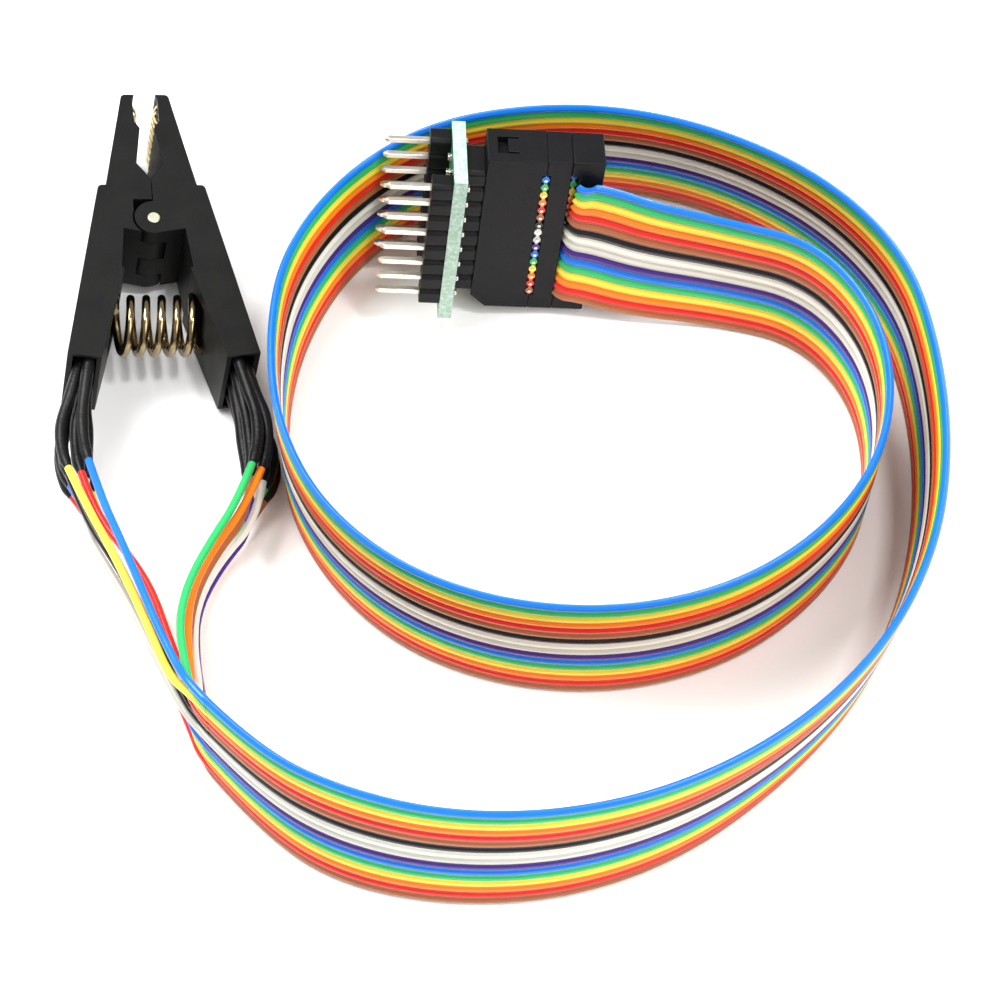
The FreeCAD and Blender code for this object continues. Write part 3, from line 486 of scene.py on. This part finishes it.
shrinkTubing = sleeveMaterial()
chance = random.Random(7)
for side, body in (("left", fixedHalf), ("right", movingHalf)):
    meshes = [sleeveMesh(side, i, chance) for i in range(wireSize["levels"])]
    sleeves = newPiece("sleeves" + side.title(), joined(meshes, "sleeves"), shrinkTubing, body, 60)
    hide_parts("sleeves_" + side)
print("sleeves made")


# Spring: a round wire coil across the clip, built from named sizes
springSize = {"radius": 3.25, "wire": 1.04, "turns": 5.6, "along": -11.8, "reach": 5.7}


def newTree(name, sizes):
    tree = bpy.data.node_groups.new(name, "GeometryNodeTree")
    tree.interface.new_socket("Geometry", in_out="INPUT", socket_type="NodeSocketGeometry")
    tree.interface.new_socket("Geometry", in_out="OUTPUT", socket_type="NodeSocketGeometry")
    for label, kind in sizes.items():
        tree.interface.new_socket(label, in_out="INPUT", socket_type=kind)
    source = tree.nodes.new("NodeGroupInput")
    return tree, source


def endTree(tree, geometry, material):
    real = addNode(tree, "GeometryNodeRealizeInstances", {"Geometry": geometry})
    painted = addNode(tree, "GeometryNodeSetMaterial", {"Geometry": real.outputs["Geometry"]})
    painted.inputs["Material"].default_value = material
    addNode(tree, "NodeGroupOutput", {"Geometry": painted.outputs["Geometry"]})


def grown(name, tree, values, base=None):
    # runs the tree once on an object and gives back the plain mesh
    holder = bpy.data.objects.new(name, base or bpy.data.meshes.new(name))
    bpy.context.scene.collection.objects.link(holder)
    modifier = holder.modifiers.new("grow", "NODES")
    modifier.node_group = tree
    for item in tree.interface.items_tree:
        if item.name in values:
            modifier[item.identifier] = values[item.name]
    mesh = bpy.data.meshes.new_from_object(holder.evaluated_get(bpy.context.evaluated_depsgraph_get()))
    bpy.data.objects.remove(holder)
    return mesh


def metalMaterial(name, first, second, low, high, scale):
    # the colour and the gloss both drift over small clouds, scale of them to the metre
    material, tree, shader = newMaterial(name, Metallic=1.0)
    place = addNode(tree, "ShaderNodeTexCoord")
    cloud = addNode(tree, "ShaderNodeTexNoise", {
        "Vector": place.outputs["Object"], "Scale": scale, "Detail": 4.0})
    colour = addNode(tree, "ShaderNodeMix", {
        "Factor": cloud.outputs["Fac"], "A": linear(first), "B": linear(second)}, data_type="RGBA")
    gloss = addNode(tree, "ShaderNodeMapRange", {
        "Value": cloud.outputs["Fac"], "To Min": low, "To Max": high})
    tree.links.new(colour.outputs["Result"], shader.inputs["Base Color"])
    tree.links.new(gloss.outputs["Result"], shader.inputs["Roughness"])
    return material


def springTree(material):
    floatKind = "NodeSocketFloat"
    tree, source = newTree("springCoil", {"Radius": floatKind, "Wire": floatKind, "Turns": floatKind,
                                          "Length": floatKind})
    spiral = addNode(tree, "GeometryNodeCurveSpiral", {
        "Resolution": 40, "Rotations": source.outputs["Turns"], "Start Radius": source.outputs["Radius"],
        "End Radius": source.outputs["Radius"], "Height": source.outputs["Length"]})
    section = addNode(tree, "GeometryNodeCurvePrimitiveCircle", {
        "Resolution": 16, "Radius": source.outputs["Wire"]})
    wire = addNode(tree, "GeometryNodeCurveToMesh", {
        "Curve": spiral.outputs["Curve"], "Profile Curve": section.outputs["Curve"], "Fill Caps": True})
    endTree(tree, wire.outputs["Mesh"], material)
    return tree


# hard-drawn spring wire, nickel plated: mirror bright, with its own warm brown cast darkened further as
# painted shade that stands in for the dark surroundings the coil reflects
springWireDarkenedForShade = metalMaterial("springWireDarkenedForShade", "#AE9C78", "#7E6E52", 0.08, 0.2, 900.0)
coilLong = (2 * springSize["reach"] - springSize["wire"]) * mm
coil = grown("spring", springTree(springWireDarkenedForShade), {
    "Radius": springSize["radius"] * mm, "Wire": springSize["wire"] / 2 * mm, "Turns": springSize["turns"],
    "Length": coilLong})
place = Matrix.Translation(clipPoint(0, springSize["along"], 0)) @ clipTurn.to_4x4()
coil.transform(place @ Matrix.Rotation(math.pi / 2, 4, "Y")
               @ Matrix.Translation((0, 0, -coilLong / 2)) @ Matrix.Rotation(math.pi, 4, "Z"))
spring = newPiece("springCoil", coil, springWireDarkenedForShade, None, 60)
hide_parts("spring")
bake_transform(spring)
print("spring made")


# Moulded plastics, with the soft edges of the mould
def plasticMaterial(name, dark, light, low, high, grain):
    # moulded thermoplastic: even black, a very fine spark-eroded grain and slight gloss changes
    material, tree, shader = newMaterial(name, IOR=1.5, Specular_IOR_Level=0.16)
    place = addNode(tree, "ShaderNodeTexCoord")
    cloud = addNode(tree, "ShaderNodeTexNoise", {
        "Vector": place.outputs["Object"], "Scale": 320.0, "Detail": 4.0})
    colour = addNode(tree, "ShaderNodeMix", {
        "Factor": cloud.outputs["Fac"], "A": linear(dark), "B": linear(light)}, data_type="RGBA")
    gloss = addNode(tree, "ShaderNodeMapRange", {
        "Value": cloud.outputs["Fac"], "To Min": low, "To Max": high})
    fine = addNode(tree, "ShaderNodeTexNoise", {
        "Vector": place.outputs["Object"], "Scale": 1 / (grain * mm), "Detail": 2.0})
    bump = addNode(tree, "ShaderNodeBump", {
        "Height": fine.outputs["Fac"], "Strength": 0.55, "Distance": 0.00006})
    tree.links.new(colour.outputs["Result"], shader.inputs["Base Color"])
    tree.links.new(gloss.outputs["Result"], shader.inputs["Roughness"])
    tree.links.new(bump.outputs["Normal"], shader.inputs["Normal"])
    return material


softEdge = {"merge": 1e-6, "flat": math.radians(1), "sharp": math.radians(25), "segments": 2}


def softened(nodeName, pieceName, material, width):
    # a copy of the node's own mesh, its loose triangles merged and its sharp edges rounded a little
    node = frame["nodes"][nodeName]
    mesh = node.data.copy()
    work = bmesh.new()
    work.from_mesh(mesh)
    bmesh.ops.remove_doubles(work, verts=work.verts, dist=softEdge["merge"])
    bmesh.ops.dissolve_limit(work, angle_limit=softEdge["flat"], verts=work.verts, edges=work.edges)
    work.to_mesh(mesh)
    work.free()
    mesh.shade_smooth()
    mesh.set_sharp_from_angle(angle=softEdge["sharp"])
    holder = bpy.data.objects.new(pieceName, mesh)
    bpy.context.scene.collection.objects.link(holder)
    bevel = holder.modifiers.new("soft edges", "BEVEL")
    bevel.width = width * mm
    bevel.segments = softEdge["segments"]
    bevel.limit_method = "ANGLE"
    bevel.angle_limit = softEdge["sharp"]
    bevel.use_clamp_overlap = True
    flatter = holder.modifiers.new("flat faces", "WEIGHTED_NORMAL")
    flatter.keep_sharp = True
    rounded = bpy.data.meshes.new_from_object(holder.evaluated_get(bpy.context.evaluated_depsgraph_get()))
    bpy.data.objects.remove(holder)
    body = movingHalf if nodeName in frame["record"]["behaviour"]["bodies"][movingHalf] else fixedHalf
    piece = newPiece(pieceName, rounded, material, body, None)
    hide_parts(nodeName)
    return piece


clipNylon = plasticMaterial("clipNylon", "#0A0A0A", "#151514", 0.36, 0.5, 0.12)
socketPolyester = plasticMaterial("socketPolyester", "#0A0A0C", "#141418", 0.38, 0.52, 0.1)
headerPlastic = plasticMaterial("headerPlastic", "#0A0A0B", "#141416", 0.34, 0.48, 0.1)
for side in ("left", "right"):
    softened("clip_half_" + side, "clipHalf" + side.title(), clipNylon, 0.18)
softened("idc_body", "socketBody", socketPolyester, 0.1)
softened("idc_cover", "socketCover", socketPolyester, 0.12)
softened("strain_relief", "socketStrainRelief", socketPolyester, 0.15)
for nodeName, pieceName in (("header_near", "headerNear"), ("header_far", "headerFar"),
                            ("plug_header", "plugHeader")):
    softened(nodeName, pieceName, headerPlastic, 0.14)
print("mouldings softened")


# Metals
# stamped strip under thin gold: pale and satin
goldPlate = metalMaterial("goldPlate", "#F0D98F", "#FFF6D8", 0.36, 0.5, 700.0)
# drawn square wire under dull tin: warm white
tinPlate = metalMaterial("tinPlate", "#D8D2C2", "#F2EEE4", 0.26, 0.42, 900.0)
# cut end of a steel pin: satin and a little yellow
turnedSteel = metalMaterial("turnedSteel", "#C2C1A6", "#DBDAC2", 0.35, 0.5, 600.0)
for nodeName, node in frame["nodes"].items():
    if nodeName.startswith("contact_") or nodeName == "idc_contacts":
        node.data.materials.clear()
        node.data.materials.append(goldPlate)
softened("hinge_pin", "hingePin", turnedSteel, 0.15)
for nodeName, pieceName in (("header_pins_near", "headerPinsNear"), ("header_pins_far", "headerPinsFar"),
                            ("plug_pins", "plugPins")):
    softened(nodeName, pieceName, tinPlate, 0.05)
print("metals made")

# Board: green mask on its faces, pale cut laminate round its edge
boardSize = {"front": -2.3, "back": -3.9, "rowHalf": 3.81, "pitch": 2.54, "perRow": 8}
jointSize = {"pad": 0.52, "top": 0.3, "rise": 0.42, "narrow": 0.94}


def boardMaterials():
    # cut glass-cloth laminate: pale green, mottled by the torn cloth, with a few bright fibre ends
    edge, tree, shader = newMaterial("laminateEdge", Roughness=0.5)
    place = addNode(tree, "ShaderNodeTexCoord")
    cloth = addNode(tree, "ShaderNodeTexNoise", {
        "Vector": place.outputs["Object"], "Scale": 1900.0, "Detail": 5.0, "Roughness": 0.75})
    colour = addNode(tree, "ShaderNodeValToRGB", {"Fac": cloth.outputs["Fac"]})
    stops = colour.color_ramp.elements
    stops[0].position, stops[0].color = 0.34, linear("#8BB09C")
    stops[1].position, stops[1].color = 0.7, linear("#E4EFE4")
    stops.new(0.54).color = linear("#AFCDBD")
    bump = addNode(tree, "ShaderNodeBump", {
        "Height": cloth.outputs["Fac"], "Strength": 0.8, "Distance": 0.00012})
    tree.links.new(colour.outputs["Color"], shader.inputs["Base Color"])
    tree.links.new(bump.outputs["Normal"], shader.inputs["Normal"])
    # solder mask: glossy green varnish over the laminate's weave
    mask, tree, shader = newMaterial("solderMask", Roughness=0.28)
    place = addNode(tree, "ShaderNodeTexCoord")
    weave = addNode(tree, "ShaderNodeTexVoronoi", {"Vector": place.outputs["Object"], "Scale": 1600.0})
    greens = {"A": linear("#2F7F55"), "B": linear("#3F9968")}
    colour = addNode(tree, "ShaderNodeMix", {"Factor": weave.outputs["Distance"], **greens}, data_type="RGBA")
    tree.links.new(colour.outputs["Result"], shader.inputs["Base Color"])
    return edge, mask


def jointTree(material):
    # a solder joint at each given point: a small cone with a hollow flank, standing along X
    floatKind = "NodeSocketFloat"
    tree, source = newTree("solderJoints", {
        "Pad": floatKind, "Top": floatKind, "Rise": floatKind, "Narrow": floatKind, "Turn": floatKind})
    cone = addNode(tree, "GeometryNodeMeshCone", {
        "Vertices": 16, "Side Segments": 6, "Fill Segments": 1, "Radius Top": source.outputs["Top"],
        "Radius Bottom": source.outputs["Pad"], "Depth": source.outputs["Rise"]})
    place = addNode(tree, "GeometryNodeInputPosition")
    split = addNode(tree, "ShaderNodeSeparateXYZ", {0: place.outputs["Position"]})
    narrow = addNode(tree, "ShaderNodeMapRange", {
        "Value": split.outputs["Z"], "From Min": 0.0, "From Max": source.outputs["Rise"], "To Min": 1.0,
        "To Max": source.outputs["Narrow"]}, interpolation_type="SMOOTHERSTEP")
    moved = addNode(tree, "ShaderNodeCombineXYZ", {"X": narrow.outputs[0], "Y": narrow.outputs[0], "Z": 1.0})
    scaled = addNode(tree, "ShaderNodeVectorMath", {
        0: place.outputs["Position"], 1: moved.outputs["Vector"]}, operation="MULTIPLY")
    shaped = addNode(tree, "GeometryNodeSetPosition", {"Geometry": cone.outputs["Mesh"],
                                                       "Position": scaled.outputs["Vector"]})
    turn = addNode(tree, "ShaderNodeCombineXYZ", {"Y": source.outputs["Turn"]})
    put = addNode(tree, "GeometryNodeInstanceOnPoints", {
        "Points": source.outputs["Geometry"], "Instance": shaped.outputs["Geometry"],
        "Rotation": turn.outputs["Vector"]})
    endTree(tree, put.outputs["Instances"], material)
    return tree


def jointSpots(x, half):
    levels = [((boardSize["perRow"] - 1) / 2 - i) * boardSize["pitch"] for i in range(boardSize["perRow"])]
    return meshOf("spots", [Vector((x, row * half, z)) * mm for row in (-1, 1) for z in levels], [])


laminateEdge, solderMask = boardMaterials()
board = softened("adapter_board", "adapterBoard", [laminateEdge, solderMask], 0.04)
faceWay = socketTurn @ Vector((1, 0, 0))
for polygon in board.data.polygons:
    polygon.material_index = 1 if abs(polygon.normal.dot(faceWay)) > 0.9 else 0
# leaded solder, set from the melt: bright grey
solder = metalMaterial("solder", "#8C8E90", "#B9BBBC", 0.16, 0.3, 1200.0)
solderTree = jointTree(solder)
socketPlace = Matrix.Translation(socketPoint(0, 0, 0)) @ socketTurn.to_4x4()
for word, x, half, way in (("Front", boardSize["front"], boardSize["rowHalf"], 1),
                           ("Back", boardSize["back"], boardSize["pitch"] / 2, -1)):
    values = {"Pad": jointSize["pad"] * mm, "Top": jointSize["top"] * mm, "Rise": jointSize["rise"] * mm,
              "Narrow": jointSize["narrow"], "Turn": way * math.pi / 2}
    jointMesh = grown("joints", solderTree, values, jointSpots(x, half))
    jointMesh.transform(socketPlace)
    joints = newPiece("solderJoints" + word, jointMesh, solder, fixedHalf, 40)
print("board made")

# Ribbon inside the socket: in at the near face, round the far side and back out under the bar
heldSize = {"near": -2.6, "far": 2.7, "in": 7.05, "out": 10.45, "steps": 14}


def heldLine():
    start = Vector((heldSize["in"], heldSize["near"], 0))
    end = Vector((heldSize["out"], heldSize["near"] + socketSize["inSlot"], 0))
    radius = (heldSize["out"] - heldSize["in"]) / 2
    line = [start, Vector((heldSize["in"], heldSize["far"], 0))]
    for k in range(1, heldSize["steps"]):
        angle = math.pi * k / heldSize["steps"]
        line.append(Vector((heldSize["in"] + radius * (1 - math.cos(angle)),
                            heldSize["far"] + radius * math.sin(angle), 0)))
    line += [Vector((heldSize["out"], heldSize["far"], 0)), end]
    return [socketPoint(*p) for p in line]


line = heldLine()
upward = socketTurn @ Vector((0, 0, 1))
held = newPiece("ribbonHeld", bandMesh("ribbonHeld", line, [upward] * len(line)), vinylRibbon, fixedHalf, 60)
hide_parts("ribbon_in_connector")


def strandTree(material):
    # seven tinned copper strands at the cut end of each conductor
    tree, source = newTree("copperStrands", {
        "Pitch": "NodeSocketFloat", "Strand": "NodeSocketFloat", "Depth": "NodeSocketFloat"})
    row = addNode(tree, "GeometryNodeMeshLine", {"Count": ribbonSize["conductors"]}, mode="OFFSET")
    gap = addNode(tree, "ShaderNodeCombineXYZ", {"Z": source.outputs["Pitch"]})
    tree.links.new(gap.outputs["Vector"], row.inputs["Offset"])
    ring = addNode(tree, "GeometryNodeMeshCircle", {"Vertices": 6, "Radius": source.outputs["Strand"]})
    centre = addNode(tree, "GeometryNodeMeshLine", {"Count": 1})
    places = addNode(tree, "GeometryNodeJoinGeometry")
    tree.links.new(ring.outputs["Mesh"], places.inputs["Geometry"])
    tree.links.new(centre.outputs["Mesh"], places.inputs["Geometry"])
    radius = addNode(tree, "ShaderNodeMath", {0: source.outputs["Strand"], 1: 0.5}, operation="MULTIPLY")
    strand = addNode(tree, "GeometryNodeMeshCylinder", {
        "Vertices": 8, "Radius": radius.outputs[0], "Depth": source.outputs["Depth"]})
    group = addNode(tree, "GeometryNodeInstanceOnPoints", {
        "Points": places.outputs["Geometry"], "Instance": strand.outputs["Mesh"]})
    group = addNode(tree, "GeometryNodeTransform", {"Geometry": group.outputs["Instances"],
                                                    "Rotation": (math.pi / 2, 0, 0)})
    put = addNode(tree, "GeometryNodeInstanceOnPoints", {
        "Points": row.outputs["Mesh"], "Instance": group.outputs["Geometry"]})
    endTree(tree, put.outputs["Instances"], material)
    return tree


# sheared copper strands, tinned: pale and fairly bright
tinnedCopper = metalMaterial("tinnedCopper", "#DAD2C2", "#F3EEE2", 0.25, 0.4, 1500.0)
strandSize = {"Pitch": ribbonSize["pitch"] * mm, "Strand": 0.14 * mm, "Depth": 0.3 * mm}
strandMesh = grown("copperStrands", strandTree(tinnedCopper), strandSize)
low = (0.5 - ribbonSize["conductors"] / 2) * ribbonSize["pitch"]
lowest = Matrix.Translation(socketPoint(heldSize["in"], heldSize["near"], low))
strandMesh.transform(lowest @ socketTurn.to_4x4())
strands = newPiece("copperStrands", strandMesh, tinnedCopper, fixedHalf, 40)
print("held ribbon made")


# Floor and light
studio = {
    "floorHalf": 3.0, "floor": "#FBFBFB", "sky": "#FFFFFF", "skyStrength": 0.5,
    "lamps": {  # place and width in metres, power in watts
        "key": ((-0.35, 0.25, 0.9), 0.6, 14.0), "fill": ((0.6, -0.5, 0.8), 0.8, 7.0),
        "glint": ((0.28, -0.1, 0.92), 0.1, 3.0),
    },
}


def floorAndLight():
    material, _, shader = newMaterial("paleFloor", Roughness=0.6)
    shader.inputs["Base Color"].default_value = linear(studio["floor"])
    half = studio["floorHalf"]
    corners = [(-half, -half, 0), (half, -half, 0), (half, half, 0), (-half, half, 0)]
    mesh = meshOf("floor", corners, [(0, 1, 2, 3)])
    mesh.materials.append(material)
    floor = bpy.data.objects.new("floor", mesh)
    bpy.context.scene.collection.objects.link(floor)
    world = bpy.data.worlds.new("studio")
    bpy.context.scene.world = world
    bpy.context.scene.view_settings.view_transform = "Standard"
    world.use_nodes = True
    sky = world.node_tree.nodes["Background"]
    sky.inputs["Color"].default_value = linear(studio["sky"])
    sky.inputs["Strength"].default_value = studio["skyStrength"]
    for name, (place, wide, power) in studio["lamps"].items():
        lamp = bpy.data.lights.new(name, "AREA")
        lamp.size = wide
        lamp.energy = power
        holder = bpy.data.objects.new(name, lamp)
        holder.location = place
        aim = bench(*view["target"]) - Vector(place)
        holder.rotation_euler = aim.to_track_quat("-Z", "Y").to_euler()
        bpy.context.scene.collection.objects.link(holder)


floorAndLight()
